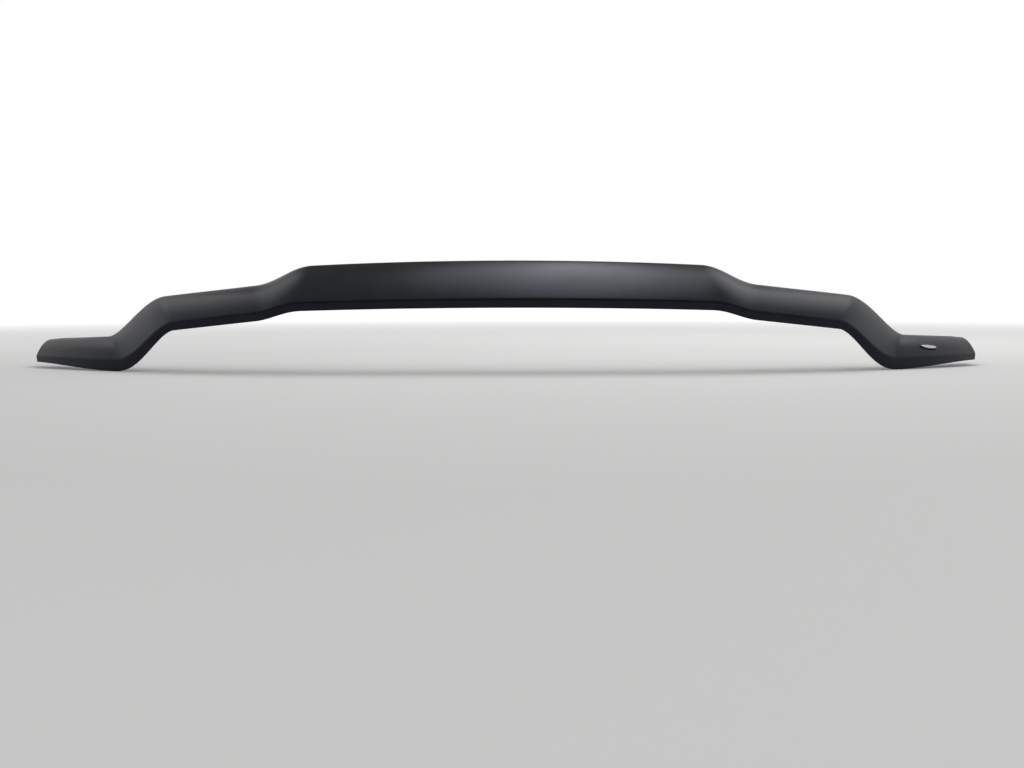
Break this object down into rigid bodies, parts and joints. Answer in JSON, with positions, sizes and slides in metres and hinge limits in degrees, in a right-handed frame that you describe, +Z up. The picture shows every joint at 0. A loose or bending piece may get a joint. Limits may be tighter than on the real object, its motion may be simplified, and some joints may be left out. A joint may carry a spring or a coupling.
{
  "type": "hood bug deflector",
  "caption": "Low wrap-over hood bug deflector: a long stepped black acrylic sheet with a front lip and a crowned face, held on by foam tape, with a small oval badge.",
  "frame": {"origin": "middle of the front tape's bonding face on the centre line, where the deflector meets the front edge of the panel that carries it", "axes": "+X to the viewer's right along the width, +Y rearwards over the panel, +Z up"},
  "size_m": [1.9204, 0.2787, 0.2076],
  "materials": {
    "black_acrylic": "satin",
    "foam_tape": "matte",
    "badge_silver": "bright silver with a dark rim"
  },
  "bodies": {
    "root": {"shield": "black_acrylic", "lip_tape_centre": "foam_tape", "lip_tape_shelf_left": "foam_tape", "lip_tape_shelf_right": "foam_tape", "lip_tape_flank_left": "foam_tape", "lip_tape_flank_right": "foam_tape", "edge_tape_centre": "foam_tape", "edge_tape_shelf_left": "foam_tape", "edge_tape_shelf_right": "foam_tape", "edge_tape_flank_left": "foam_tape", "edge_tape_flank_right": "foam_tape", "badge": "badge_silver"}
  },
  "joints": []
}
